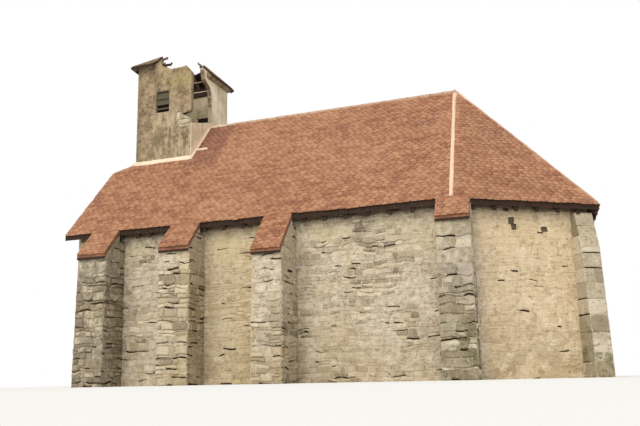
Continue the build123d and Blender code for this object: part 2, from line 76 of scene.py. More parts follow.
# One socket of a material: an operator adds a Math node, and node() adds any other kind
class Wire:
    def __init__(self, tree, socket=None):
        self.tree = tree
        self.socket = socket

    def node(self, kind, settings=None, values=None, output=0):
        made = self.tree.nodes.new(kind)
        for key, value in (settings or {}).items():
            setattr(made, key, value)
        for key, value in (values or {}).items():
            if isinstance(value, Wire):
                self.tree.links.new(value.socket, made.inputs[key])
            else:
                made.inputs[key].default_value = value
        return Wire(self.tree, made.outputs[output])

    def maths(self, operation, first, second):
        return self.node("ShaderNodeMath", {"operation": operation}, {0: first, 1: second})

    def __add__(self, other):
        return self.maths("ADD", self, other)

    __radd__ = __add__

    def __sub__(self, other):
        return self.maths("SUBTRACT", self, other)

    def __rsub__(self, other):
        return self.maths("SUBTRACT", other, self)

    def __mul__(self, other):
        return self.maths("MULTIPLY", self, other)

    def noise(self, scale, detail=3, roughness=0.55, stretch=None):
        place = self
        if stretch:
            place = self.node("ShaderNodeMapping", {}, {"Vector": self, "Scale": stretch})
        values = {"Vector": place, "Scale": scale, "Detail": detail, "Roughness": roughness}
        return self.node("ShaderNodeTexNoise", {}, values)

    def rise(self, low, high):      # 0 up to low, 1 from high on
        settings = {"interpolation_type": "SMOOTHSTEP"}
        return self.node("ShaderNodeMapRange", settings, {0: self, 1: low, 2: high})

    def ramp(self, *stops):      # each stop is a position and the colour there
        made = self.node("ShaderNodeValToRGB", {}, {0: self})
        elements = made.socket.node.color_ramp.elements
        while len(elements) < len(stops):
            elements.new(0.5)
        for element, (position, colour) in zip(elements, stops):
            element.position = position
            element.color = shade(colour)
        return made

    def choose(self, low, high):      # the low colour where this is 0, the high one where it is 1
        values = {0: self, 6: low, 7: high if isinstance(high, Wire) else shade(high)}
        return self.node("ShaderNodeMix", {"data_type": "RGBA"}, values, output=2)

    def part(self, axis):
        return self.node("ShaderNodeSeparateXYZ", {}, {0: self}, output=axis)

    def given(self, name):      # a value that each stone or tile carries
        return self.node("ShaderNodeAttribute", {"attribute_name": name}, output=2)


# A recipe gives a material's colour, roughness and relief
def finish(name, recipe, bump, depth):
    material = bpy.data.materials.new(name)
    material.use_nodes = True
    tree = material.node_tree
    shader = tree.nodes["Principled BSDF"]
    shader.inputs["Specular IOR Level"].default_value = 0.25
    place = Wire(tree).node("ShaderNodeTexCoord", output=3)
    colour, rough, height = recipe(place)
    tree.links.new(colour.socket, shader.inputs["Base Color"])
    tree.links.new(rough.socket, shader.inputs["Roughness"])
    relief = place.node("ShaderNodeBump", {}, {"Height": height, "Strength": bump, "Distance": depth})
    tree.links.new(relief.socket, shader.inputs["Normal"])
    return material


def roofHeight(y):
    return ridgeTop - roofPitch * abs(y)


# Flat clay tiles: orange brown, with a tone of their own and purple and mossy patches over many of them
def clayRecipe(place):
    tone = place.given("tone")
    patch = place.noise(0.6, 4, 0.6)
    streak = place.noise(5, 4, 0.62, stretch=(0.3, 0.3, 2.3))
    grain = place.noise(46, 3)
    body = (tone * 0.34 + streak * 0.55 + (patch - 0.5) * 0.5 + 0.04).ramp(
        (0.1, (122, 78, 58)), (0.3, (151, 103, 77)), (0.5, (170, 123, 93)),
        (0.72, (184, 138, 106)), (0.95, (200, 162, 130)))
    violet = (place.noise(1.15, 5, 0.65).rise(0.54, 0.7) * 0.5).choose(body, (134, 92, 79))
    mossPatch = place.noise(2.3, 6, 0.7).rise(0.6, 0.74) * grain.rise(0.4, 0.6) * 0.4
    mossy = mossPatch.choose(violet, (146, 122, 84))
    east = place.part(0)
    beside = east.rise(belfryEast - 0.1, belfryEast) * (1 - east.rise(belfryEast + 0.85, belfryEast + 1.1))
    dull = beside * place.part(2).rise(5.9, 6.5) * place.noise(2.4, 4).rise(0.25, 0.5) * 0.6
    return dull.choose(mossy, (126, 83, 72)), grain * 0.2 + 0.72, grain + streak * 0.6


def belfryClayRecipe(place):
    tone = place.given("tone")
    cloud = place.noise(4, 4)
    grain = place.noise(46, 3)
    body = (tone * 0.5 + cloud * 0.5).ramp(
        (0.1, (84, 66, 52)), (0.5, (128, 100, 76)), (0.9, (166, 136, 106)))
    colour = (place.noise(9, 4).rise(0.5, 0.65) * 0.5).choose(body, (146, 132, 100))
    return colour, grain * 0.2 + 0.75, grain + cloud


def ridgeClayRecipe(place):
    tone = place.given("tone")
    cloud = place.noise(6, 4, 0.6)
    grain = place.noise(46, 3)
    body = (tone * 0.5 + cloud * 0.5).ramp(
        (0.2, (112, 78, 59)), (0.5, (138, 100, 77)), (0.8, (164, 128, 103)))
    west = 1 - place.part(0).rise(-2.2, 0.6)
    smear = (place.noise(3.2, 5, 0.65) * 0.7 + tone * 0.25 + west * 0.1).rise(0.55, 0.64) * 0.6
    return smear.choose(body, (206, 174, 146)), grain * 0.2 + 0.75, grain + cloud


# The plates under the tiles show only at their edges, brown and darkened as painted shade
def edgeRecipe(place):
    cloud = place.noise(7, 4, 0.6)
    grain = place.noise(40, 3)
    colour = (cloud * 0.7 + grain * 0.3).ramp(
        (0.3, (98, 66, 50)), (0.5, (138, 94, 70)), (0.75, (168, 122, 92)))
    return colour, grain * 0.2 + 0.75, cloud + grain * 0.5


def mortarRecipe(place):
    cloud = place.noise(3.5, 5, 0.65)
    grain = place.noise(60, 3)
    colour = (cloud * 0.8 + grain * 0.25).ramp(
        (0.3, (200, 170, 138)), (0.42, (224, 198, 170)), (0.55, (235, 214, 188)),
        (0.8, (242, 227, 206)))
    pink = (place.part(0).rise(-1, 1) * 0.6).choose(colour, (219, 184, 158))
    ridge = place.part(2).rise(7.9, 7.97) * place.part(0).rise(belfryEast + 0.3, belfryEast + 1) * 0.62
    brown = (place.part(0).rise(apexX + 0.3, apexX + 0.6) * 0.75 + ridge).choose(pink, (172, 128, 98))
    return brown, grain * 0.2 + 0.78, grain + cloud


# Pale mortar wiped over stones and joints alike, as thick as the stone's smear value says
def wiped(place, colour):
    cover = (place.noise(1.9, 5, 0.64) * 0.55 + place.given("smear") * 0.5).rise(0.42, 0.6) * 0.85
    tint = place.noise(9, 6, 0.72).ramp(
        (0.33, (140, 126, 103)), (0.46, (186, 172, 149)), (0.66, (216, 206, 187)))
    yellow = (place.part(2).rise(2.7, 3.3) * place.noise(1.3, 4).rise(0.4, 0.6) * 0.4).choose(
        tint, (204, 188, 148))
    return cover.choose(colour, yellow)


# Painted shade of the eave, with some dirt, where the walls run up behind the rafter feet
def underEaves(place, colour):
    height = place.part(2)
    sides = place.part(0).rise(-6.42, -6.38) * (1 - height.rise(4.6, 4.8) + height.rise(8.7, 8.9) * 0.5)
    edge = (height + place.noise(4, 4, 0.6) * 0.16).rise(3.86, 3.97)
    return (sides * edge * 0.8).choose(colour, (72, 54, 40))


# Ochre in one bay and round the east end, where painted light also makes it paler, greenish near the ground
def aged(place, colour, grain):
    bay = place.part(0).rise(-3.1, -2.4) * (1 - place.part(0).rise(-1.3, -0.7))
    ochre = ((bay * 0.5 + place.noise(0.8, 3).rise(0.54, 0.68) * 0.3) * grain.rise(0.3, 0.6)).choose(
        colour, (198, 174, 128))
    # Round the east end the ochre is paler, partly its own colour and partly painted light for walls that are
    # lit less
    east = (place.part(0).rise(apexX + 0.5, apexX + 0.7) * 0.42).choose(ochre, (222, 194, 150))
    damp = (1 - place.part(2).rise(0.2, 1.7)) * place.noise(2.2, 4, 0.6).rise(0.35, 0.62) * 0.45
    return damp.choose(east, (140, 124, 88))


# Rubble: beige and grey stones, some of them pitted, and flanks darkened by soot and painted shade
def rubbleRecipe(place):
    tone = place.given("tone")
    cloud = place.noise(1.1, 4, 0.6)
    grain = place.noise(19, 5, 0.68)
    fine = place.noise(70, 3)
    body = (tone * 0.45 + grain * 0.5 + (cloud - 0.5) * 0.4 + 0.02).ramp(
        (0.18, (108, 97, 84)), (0.38, (160, 146, 124)), (0.58, (192, 178, 153)),
        (0.88, (222, 211, 190)))
    coloured = aged(place, wiped(place, body), grain)
    beyond = place.part(0).rise(apexX + 0.5, apexX + 0.7)
    paler = (beyond * place.noise(2.6, 5, 0.66).rise(0.53, 0.62) * 0.5).choose(coloured, (230, 214, 188))
    mottled = (beyond * place.noise(4.4, 6, 0.72).rise(0.53, 0.61) * 0.55).choose(paler, (156, 128, 102))
    pits = place.noise(13, 5, 0.74, stretch=(0.8, 0.8, 1.5)).rise(0.585, 0.66) * 0.62
    pitted = pits.choose(mottled, (98, 86, 68))
    # Soot darkens the fronts, and on the east flanks soot and painted shade
    sootAndShade = place.given("sootAndShade") * place.noise(7, 5, 0.7).rise(0.3, 0.62) * 0.85
    darker = sootAndShade.choose(pitted, (92, 82, 68))
    return underEaves(place, darker), fine * 0.15 + 0.8, grain + fine * 0.3 - pits


def jointRecipe(place, weather=aged):
    cloud = place.noise(3.4, 5, 0.66, stretch=(0.5, 0.5, 1.6))
    grain = place.noise(40, 4)
    bed = (cloud * 0.8 + grain * 0.2).ramp(
        (0.38, (74, 62, 47)), (0.45, (126, 110, 85)), (0.52, (178, 162, 132)),
        (0.75, (202, 188, 160)))
    colour = weather(place, wiped(place, bed), grain)
    # Painted shade: putlog holes and the open gaps under stones are coloured near black
    hollow = (1 - place.given("tone").rise(0.01, 0.04)).choose(colour, (52, 41, 30))
    # Soot, and painted shade on the east flanks, darken the joints too
    darker = (place.given("sootAndShade") * 0.6).choose(hollow, (76, 66, 53))
    return underEaves(place, darker), grain * 0.1 + 0.85, grain + cloud * 0.5


# Between dressed stones the joints take no ochre
def dressedJointRecipe(place):
    return jointRecipe(place, lambda place, colour, grain: colour)


def ashlarRecipe(place):
    tone = place.given("tone")
    cloud = place.noise(1.6, 4, 0.6)
    grain = place.noise(28, 5, 0.65)
    body = (tone * 0.4 + grain * 0.45 + cloud * 0.3).ramp(
        (0.3, (96, 85, 68)), (0.5, (156, 143, 119)), (0.76, (218, 206, 184)))
    height = place.part(2)
    far = place.part(0).rise(apexX + 0.7, apexX + 0.9)
    warm = (far * 0.3).choose(wiped(place, body), (168, 154, 128))
    band = height.rise(1.6, 1.95) * (1 - height.rise(2.3, 2.6)) * (1 - far)
    lilac = (band * place.noise(2.3, 4).rise(0.35, 0.52) * 0.6).choose(warm, (146, 134, 125))
    damp = (1 - height.rise(0.3, 2.2)) * place.noise(2.1, 5, 0.68).rise(0.42, 0.56) * 0.6
    mossy = (1 - height.rise(0.7, 1.5)) * place.noise(3.1, 5, 0.7).rise(0.52, 0.62) * 0.75
    greened = mossy.choose(damp.choose(lilac, (124, 114, 82)), (88, 98, 54))
    pits = place.noise(11, 5, 0.74, stretch=(0.8, 0.8, 1.5)).rise(0.56, 0.64) * 0.65
    colour = pits.choose(greened, (88, 76, 58))
    # Soot darkens the front, and on the east flank soot and painted shade
    sootAndShade = place.given("sootAndShade") * place.noise(6, 5, 0.7).rise(0.3, 0.6) * 0.85
    darker = sootAndShade.choose(colour, (96, 86, 66))
    return darker, grain * 0.15 + 0.78, grain - pits


# Belfry walls: olive and yellow lichen high up, pale streaks running down below the openings
def belfryRecipe(place):
    cloud = place.noise(1.9, 5, 0.62)
    grain = place.noise(15, 5, 0.7)
    streak = place.noise(5.5, 4, 0.62, stretch=(1, 1, 0.2))
    height = place.part(2)
    across = place.part(0)
    blot = place.noise(5.2, 5, 0.66)
    body = (grain * 0.35 + cloud * 0.25 + blot * 0.45).ramp(
        (0.42, (94, 79, 61)), (0.5, (130, 111, 87)), (0.59, (168, 148, 120)))
    high = height.rise(8.5, 9.3) * (across.rise(belfryEast - 1.3, belfryEast - 0.5) * 0.45 + 0.2)
    lichened = (place.noise(2.7, 5, 0.65).rise(0.4, 0.56) * high).choose(body, (160, 145, 96))
    inward = across.rise(belfryWest + 0.2, belfryWest + 0.8)
    pale = streak.rise(0.46, 0.58) * (1 - height.rise(7.9, 8.3)) * inward
    colour = (pale * 0.55).choose(lichened, (196, 180, 146))
    grey = place.noise(3.4, 5, 0.7).rise(0.46, 0.58) * (1 - height.rise(7.2, 8.1)) * 0.7
    greyed = grey.choose(colour, (114, 103, 76))
    corner = (1 - across.rise(belfryWest + 0.02, belfryWest + 0.3)) * 0.4
    darker = place.noise(8, 5, 0.7).rise(0.57, 0.68) * 0.6
    dark = darker.choose(corner.choose(greyed, (112, 96, 66)), (88, 76, 54))
    return dark, grain * 0.15 + 0.8, grain + cloud * 0.5


def renderRecipe(place):
    cloud = place.noise(1.8, 4, 0.6)
    streak = place.noise(5, 4, 0.6, stretch=(1, 1, 0.16))
    grain = place.noise(50, 4)
    colour = (cloud * 0.5 + streak * 0.3 + grain * 0.2).ramp(
        (0.38, (190, 170, 138)), (0.5, (232, 215, 186)), (0.62, (250, 237, 214)))
    stained = (place.part(1).rise(belfryHalf - 0.4, belfryHalf) * streak.rise(0.35, 0.6) * 0.6).choose(
        colour, (170, 158, 118))
    away = place.maths("ABSOLUTE", place.part(1), 0)
    above = place.part(2) + away * roofPitch - ridgeTop
    foot = (1 - place.part(2).rise(7.8, 8.5)) * place.noise(4, 5, 0.66).rise(0.35, 0.6) * 0.5
    yellow = foot.choose(stained, (204, 184, 142))
    pink = (1 - above.rise(0.06, 0.26)) * 0.65
    return pink.choose(yellow, (230, 196, 166)), grain * 0.12 + 0.8, grain + cloud


def plasterRecipe(place):
    cloud = place.noise(2.4, 5, 0.6)
    grain = place.noise(40, 4)
    colour = (cloud * 0.8 + grain * 0.2).ramp(
        (0.3, (156, 143, 116)), (0.5, (184, 170, 141)), (0.72, (206, 194, 167)))
    fibre = place.noise(7, 4, 0.6, stretch=(0.4, 0.4, 3))
    boards = fibre.ramp((0.4, (46, 32, 24)), (0.7, (84, 60, 46)))
    return place.part(2).rise(9.85, 9.88).choose(colour, boards), grain * 0.1 + 0.85, grain + cloud


# Plaster under the eave, darkened as painted shade of the eave
def coveRecipe(place):
    cloud = place.noise(3, 5, 0.64)
    grain = place.noise(40, 4)
    colour = (cloud * 0.8 + grain * 0.2).ramp(
        (0.36, (104, 88, 66)), (0.5, (136, 119, 93)), (0.64, (170, 152, 124)))
    return colour, grain * 0.1 + 0.85, grain + cloud


# Timber: fibres and grain between the dark, the middle and the pale colour
def timber(scale, stretch, colours, rough=0.7, relief=0.4):
    def recipe(place):
        fibre = place.noise(scale, 4, 0.6, stretch=stretch)
        grain = place.noise(60, 3)
        colour = (fibre * 0.7 + grain * 0.3).ramp(*zip((0.25, 0.5, 0.8), colours))
        return colour, grain * 0.2 + rough, fibre + grain * relief
    return recipe


def sawnBoard(stretch, dark, pale, rough):
    def recipe(place):
        fibre = place.noise(6, 4, 0.6, stretch=stretch)
        colour = (fibre * 0.8 + place.given("tone") * 0.2).ramp((0.3, dark), (0.7, pale))
        return colour, fibre * 0.2 + rough, fibre
    return recipe


# Oak: old timber, painted near black as the shade under the eaves and the caps
shadedOakRecipe = timber(7, (4, 4, 1), ((28, 18, 12), (50, 34, 24), (80, 58, 43)))
greyOakRecipe = timber(6, (5, 5, 1), ((70, 60, 48), (116, 103, 84), (160, 146, 124)))
boardRecipe = timber(5, (2, 2, 12), ((58, 51, 39), (84, 76, 59), (114, 104, 83)), 0.72, 0.3)
darkBoardRecipe = sawnBoard((5, 5, 1), (22, 16, 12), (44, 34, 26), 0.75)
lathRecipe = sawnBoard((1, 5, 5), (206, 176, 142), (244, 222, 194), 0.7)

clay = finish("claytile", clayRecipe, 0.5, 0.006)
belfryClay = finish("belfryclay", belfryClayRecipe, 0.5, 0.006)
ridgeClay = finish("ridgeclay", ridgeClayRecipe, 0.5, 0.006)
roofEdge = finish("roofedge", edgeRecipe, 0.6, 0.01)
limeMortar = finish("limemortar", mortarRecipe, 0.7, 0.012)
rubble = finish("rubble", rubbleRecipe, 0.8, 0.012)
joint = finish("walljoint", jointRecipe, 0.8, 0.012)
dressedJoint = finish("dressedjoint", dressedJointRecipe, 0.8, 0.012)
ashlar = finish("ashlar", ashlarRecipe, 0.6, 0.008)
belfryStone = finish("belfrystone", belfryRecipe, 0.9, 0.014)
belfryRender = finish("belfryrender", renderRecipe, 0.5, 0.01)
plaster = finish("plaster", plasterRecipe, 0.6, 0.012)
covePlaster = finish("coveplaster", coveRecipe, 0.6, 0.012)
shadedOak = finish("shadedoak", shadedOakRecipe, 0.6, 0.006)
greyOak = finish("greyoak", greyOakRecipe, 0.7, 0.008)
greyBoard = finish("greyboard", boardRecipe, 0.6, 0.004)
darkBoard = finish("darkboard", darkBoardRecipe, 0.6, 0.004)
lath = finish("lath", lathRecipe, 0.5, 0.003)
print("materials ready")


def meshOf(bm, name):
    mesh = bpy.data.meshes.new(name)
    bm.to_mesh(mesh)
    bm.free()
    return mesh


def addPiece(name, shape, materials, replaced=()):
    mesh = meshOf(shape, name) if isinstance(shape, bmesh.types.BMesh) else shape
    for material in materials:
        mesh.materials.append(material)
    piece = bpy.data.objects.new(name, mesh)
    scene.collection.objects.link(piece)
    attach(piece, "root")
    if replaced:
        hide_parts(*replaced)


def addStones(node, bm, materials):      # the dressed copy of a solid takes its place
    addPiece(node + "_stones", bm, materials, [node])


def mergedCopy(node):
    bm = bmesh.new()
    bm.from_mesh(nodes[node].data)
    bmesh.ops.remove_doubles(bm, verts=bm.verts, dist=0.0002)
    bmesh.ops.dissolve_limit(bm, angle_limit=math.radians(0.5), verts=bm.verts, edges=bm.edges)
    bm.normal_update()
    return bm


def once(things):      # each thing once, in the same order in every run
    return list(dict.fromkeys(things))


def cutFaces(bm, faces, point, direction):
    geometry = list(faces) + once(e for f in faces for e in f.edges) + once(v for f in faces for v in f.verts)
    made = bmesh.ops.bisect_plane(bm, geom=geometry, dist=0.0005, plane_co=point, plane_no=direction)
    return [g for g in made["geom"] if isinstance(g, bmesh.types.BMFace)]


def centre(face):
    return face.calc_center_median()


def swing(chance, most):
    return chance.uniform(-most, most)


def block(size, middle):      # a plain start, which is then cut, bevelled or bent
    bm = bmesh.new()
    bmesh.ops.create_cube(bm, size=1)
    bmesh.ops.scale(bm, vec=size, verts=bm.verts)
    bmesh.ops.translate(bm, vec=middle, verts=bm.verts)
    return bm


def smooth(bm):
    for face in bm.faces:
        face.smooth = True


def layer(bm, name):
    return bm.faces.layers.float.new(name)


def turned(columns, place):      # the matrix that lays a shape's axes along the columns, at the place
    matrix = Matrix(columns).transposed().to_4x4()
    matrix.translation = place
    return matrix


# Tiles: one shape repeated over each roof face, in courses from the eave up
tileSize = {"width": 0.17, "cover": 0.97, "exposure": 0.113, "length": 0.2, "thickness": 0.011,
            "raise": 0.013, "overhang": 0.03, "camber": 0.003, "cornerRound": 0.022, "wave": 0.008,
            "sway": 0.016}
thinTile = dict(tileSize, thickness=0.007, overhang=0.006, camber=0.001, wave=0, sway=0.003)
thinTile["raise"] = 0.006
laying = {"narrowest": 0.035, "offset": 0.35, "slip": 0.009, "lift": 0.006, "slipped": 0.02,
          "slippedBy": (0.01, 0.03), "turn": 0.035, "eaveCourse": 0.45, "edge": 0.004}


def tileShape(size):
    width, length, thick = size["width"] * size["cover"], size["length"], size["thickness"]
    bm = block((width, length, thick), (0, length / 2, thick / 2))
    tail = [e for e in bm.edges
            if all(v.co.y < 0.001 for v in e.verts) and abs(e.verts[0].co.x - e.verts[1].co.x) < 0.001]
    bmesh.ops.bevel(bm, geom=tail, offset=size["cornerRound"], segments=1, profile=0.5, material=-1,
                    affect="EDGES")
    cutFaces(bm, bm.faces, (0, 0, 0), (1, 0, 0))
    for vert in bm.verts:
        vert.co.z += size["raise"] * (1 - vert.co.y / size["length"])
        if abs(vert.co.x) < 0.001:
            vert.co.z += size["camber"]
    return meshOf(bm, "tile")


def repeated(name, shape, places, tones):      # one mesh holding the shape once at each place
    points = numpy.array([v.co for v in shape.vertices])
    loops = numpy.array([loop.vertex_index for loop in shape.loops])
    starts = numpy.array([p.loop_start for p in shape.polygons])
    totals = numpy.array([p.loop_total for p in shape.polygons])
    turns = numpy.array([[list(row) for row in m] for m in places])
    count = len(places)
    order = numpy.arange(count)[:, None]
    world = numpy.einsum("kij,nj->kni", turns[:, :3, :3], points) + turns[:, None, :3, 3]
    mesh = bpy.data.meshes.new(name)
    mesh.vertices.add(count * len(points))
    mesh.vertices.foreach_set("co", world.ravel())
    mesh.loops.add(count * len(loops))
    mesh.loops.foreach_set("vertex_index", (loops[None] + order * len(points)).ravel())
    mesh.polygons.add(count * len(starts))
    mesh.polygons.foreach_set("loop_start", (starts[None] + order * len(loops)).ravel())
    mesh.polygons.foreach_set("loop_total", numpy.tile(totals, count))
    mesh.update(calc_edges=True)
    toneLayer = mesh.attributes.new("tone", "FLOAT", "FACE")
    toneLayer.data.foreach_set("value", numpy.repeat(numpy.array(tones), len(starts)))
    return mesh


def rowSpans(outline, level):      # where a course at this level starts and ends inside the outline
    crossings = []
    for (x0, y0), (x1, y1) in zip(outline, outline[1:] + outline[:1]):
        if (y0 > level) != (y1 > level):
            crossings.append(x0 + (level - y0) / (y1 - y0) * (x1 - x0))
    crossings.sort()
    return list(zip(crossings[::2], crossings[1::2]))


def crosses(a, b, c, d):      # whether the line from a to b meets the line from c to d
    def side(p, q, r):
        return (q[0] - p[0]) * (r[1] - p[1]) - (q[1] - p[1]) * (r[0] - p[0])
    return side(a, b, c) * side(a, b, d) < 0 and side(c, d, a) * side(c, d, b) < 0


def cutTile(shape, matrix, tone, inner, cuts):      # a tile, cut so that the inner point's side stays
    part = bmesh.new()
    part.from_mesh(shape)
    toneLayer = layer(part, "tone")
    part.transform(matrix)
    for point, away in cuts:
        if (inner - point).dot(away) > 0:
            away = -away
        geometry = part.verts[:] + part.edges[:] + part.faces[:]
        cut = bmesh.ops.bisect_plane(part, geom=geometry, dist=0.0002, plane_co=point, plane_no=away,
                                     clear_outer=True)["geom_cut"]
        rim = [g for g in cut if isinstance(g, bmesh.types.BMEdge)]
        bmesh.ops.holes_fill(part, edges=rim)
    for face in part.faces:
        face[toneLayer] = tone
    return meshOf(part, "trimmed")


def tileSpans(outline, size, chance, gone):      # each tile's left and right end and its course's level
    top = max(y for x, y in outline)
    course = 0
    level = -size["overhang"]
    while level < top - 0.02:
        sample = min(max(level + size["exposure"] / 2, 0.01), top - 0.005)
        for left, right in rowSpans(outline, sample):
            x = left - size["width"] * (0.5 * (course % 2) + chance.uniform(0, laying["offset"]))
            while x < right - 0.03:
                x0 = max(x, left)
                x1 = min(x + size["width"], right)
                x += size["width"]
                if x1 - x0 >= laying["narrowest"] and chance.random() >= gone:
                    yield x0, x1, level
        level += size["exposure"] * (laying["eaveCourse"] if course == 0 else 1)
        course += 1


# Whole tiles give a place and a tone, and those that meet a hip or the ridge come cut along it
def tilesOn(node, size, chance, shape, gone):
    bm = mergedCopy(node)
    places = []
    tones = []
    trimmed = []
    for face in bm.faces:
        if face.normal.z < 0.3 or face.calc_area() < 0.05:
            continue
        low = min(face.edges, key=lambda e: (e.verts[0].co.z + e.verts[1].co.z) / 2 - 0.2 * e.calc_length())
        along = (low.verts[1].co - low.verts[0].co).normalized()
        rise = face.normal.cross(along)
        if rise.z < 0:
            along = -along
            rise = -rise
        start = low.verts[0].co
        outline = [((v.co - start).dot(along), (v.co - start).dot(rise)) for v in face.verts]
        sides = [(a, b) for a, b in zip(outline, outline[1:] + outline[:1]) if max(a[1], b[1]) > 0.01]
        top = max(y for x, y in outline)
        for x0, x1, level in tileSpans(outline, size, chance, gone):
            slip = swing(chance, laying["slip"])
            lift = chance.uniform(0, laying["lift"])
            if chance.random() < laying["slipped"]:
                slip -= chance.uniform(*laying["slippedBy"])
            middle = start + along * ((x0 + x1) / 2) + rise * (level + slip)
            wave = size["wave"] * (1 + noise.noise(middle * 0.9) + 0.4 * noise.noise(middle * 3.1))
            middle += face.normal * (lift + max(wave, 0) * min(1, 0.2 + top - level))
            middle += rise * (size["sway"] * noise.noise(middle * 0.8))
            turn = Matrix.Rotation(swing(chance, laying["turn"]), 3, face.normal)
            columns = turn @ along * ((x1 - x0) / size["width"]), turn @ rise, face.normal
            matrix = turned(columns, middle)
            tone = chance.random()
            base = max(level, 0)
            feet = [(x, base + laying["edge"]) for x in (x0 + laying["edge"], x1 - laying["edge"])]
            heads = [(x, level + size["length"]) for x, y in feet]
            walls = [(feet[0], heads[0]), (feet[1], heads[1]), heads]
            met = [(a, b) for a, b in sides if any(crosses(a, b, c, d) for c, d in walls)]
            if met:
                cuts = [(start + along * a[0] + rise * a[1],
                         face.normal.cross(along * (b[0] - a[0]) + rise * (b[1] - a[1])).normalized())
                        for a, b in met]
                inner = start + along * ((x0 + x1) / 2) + rise * base
                trimmed.append(cutTile(shape, matrix, tone, inner, cuts))
            else:
                places.append(matrix)
                tones.append(tone)
    bm.free()
    return places, tones, trimmed


def layTiles(node, size, shape, seed, material, gone=0):
    places, tones, trimmed = tilesOn(node, size, random.Random(seed), shape, gone)
    bm = bmesh.new()
    bm.from_mesh(repeated("whole", shape, places, tones))
    for part in trimmed:
        bm.from_mesh(part)
        bpy.data.meshes.remove(part)
    print(node, len(places), "whole tiles,", len(trimmed), "cut ones,", len(bm.faces), "faces")
    addPiece(node + "_tiles", bm, [material])


tile = tileShape(tileSize)
roofs = {"south_roof_slope": 1, "north_roof_slope": 2, "apse_southeast_roof": 3, "apse_northeast_roof": 4,
         "apse_east_roof": 5, "west_half_hip_roof": 6, "buttress_caps": 7}
for node, seed in roofs.items():
    layTiles(node, tileSize, tile, seed, clay)
belfryTile = tileShape(thinTile)
for node, seed in {"belfry_roof_southwest": 8, "belfry_roof_northeast": 9}.items():
    layTiles(node, thinTile, belfryTile, seed, belfryClay, gone=0.04)
print("tiles laid")


# Masonry: a wall's own faces are cut into courses and stones, sunk at the joints and raised between them
rubbleWall = {"course": (0.06, 0.14), "stone": (0.09, 0.34), "split": 0.16, "gap": 0.06, "joint": 0.006,
              "wobble": 0.045, "relief": 0.014, "shoulder": 0.01, "crown": 0.012, "smear": 0.4}
cutting = {"tilt": 0.01, "lean": 0.2, "splitLean": 0.12, "gapHeight": (0.018, 0.034), "gapLean": 0.05,
           "gapRim": 0.003, "gapDepth": 0.03, "thinnest": 0.02, "crowned": 0.06, "rounding": 0.45,
           "uprightSmear": 0.6, "bedSmear": 0.05}
wander = {"long": 0.08, "longer": 0.21, "broad": 1.3, "close": 4.6, "fine": 14, "fineShare": 0.3}
putlog = {"half": (0.05, 0.08), "lean": 0.15, "tone": 0.018, "rim": 0.016, "depth": 0.035}
jointCoat = 1      # the joint comes second in the materials of every wall


def courseLevels(size, chance, low, high):
    levels = []
    z = low + chance.uniform(*size["course"])
    while z < high - size["course"][0] * 0.6:
        levels.append(z)
        z += chance.uniform(*size["course"])
    return levels


def raiseStones(bm, faces, size, toneLayer, smearLayer):
    ring = bmesh.ops.inset_individual(bm, faces=faces, thickness=size["joint"])["faces"]
    for face in ring:
        face.material_index = jointCoat
        longest = max(face.edges, key=lambda e: e.calc_length())
        run = longest.verts[0].co - longest.verts[1].co
        more = cutting["uprightSmear" if abs(run.z) > 0.6 * run.length else "bedSmear"]
        face[smearLayer] = min(1, face[smearLayer] + more)
    rims = once(v for f in faces for v in f.verts)
    bmesh.ops.smooth_vert(bm, verts=rims, factor=cutting["rounding"], use_axis_x=True, use_axis_y=True,
                          use_axis_z=True)
    breadth = {f: 2 * f.calc_area() / max(f.calc_perimeter(), 0.001) for f in faces}
    raised = [f for f in faces if breadth[f] > cutting["thinnest"]]
    bmesh.ops.inset_individual(bm, faces=raised, thickness=size["shoulder"])
    for face in raised:
        share = 0.25 + 1.3 * (face[toneLayer] * 7.3 % 1)      # how far each stands out comes from its tone
        push = face.normal * (size["relief"] * share * (1 - 0.75 * face[smearLayer]))
        for vert in face.verts:
            vert.co += push
    crowned = [f for f in faces if breadth[f] > cutting["crowned"]]
    bmesh.ops.inset_individual(bm, faces=crowned, thickness=size["crown"], depth=0.004)
    for face in faces:
        if breadth[face] <= cutting["thinnest"]:
            face.material_index = jointCoat


# Upright cuts through each course, then some stones are halved and some have lost the mortar under them
def cutStones(bm, faces, size, chance):
    stones = []
    gaps = []
    for face in faces:
        along = face.normal.cross(up).normalized()
        middle = centre(face)
        reach = [v.co.dot(along) for v in face.verts]
        x = min(reach) + chance.uniform(0.4, 1) * size["stone"][1]
        strip = [face]
        while x < max(reach) - size["stone"][0] * 0.6:
            lean = (along + up * swing(chance, cutting["lean"])).normalized()
            strip = cutFaces(bm, strip, middle + along * (x - middle.dot(along)), lean)
            x += chance.uniform(*size["stone"])
        for stone in strip:
            fate = chance.random()
            if fate < size["gap"]:
                foot = min((v.co.copy() for v in stone.verts), key=lambda place: place.z)
                tilt = (up + along * swing(chance, cutting["gapLean"])).normalized()
                parts = cutFaces(bm, [stone], foot + up * chance.uniform(*cutting["gapHeight"]), tilt)
                parts.sort(key=lambda f: centre(f).z)
                gaps += parts[:-1]
                stones += parts[-1:]
            elif fate < size["gap"] + size["split"]:
                tilt = up + along * swing(chance, cutting["splitLean"])
                stones += cutFaces(bm, [stone], centre(stone), tilt.normalized())
            else:
                stones.append(stone)
    return stones, gaps


def innerVerts(bm, cells):      # each point that lies inside one flat face's cells, with its direction
    cells = set(cells)
    for vert in bm.verts:
        around = vert.link_faces
        if all(f in cells and f.normal.dot(around[0].normal) > 0.999 for f in around):
            yield vert, around[0].normal


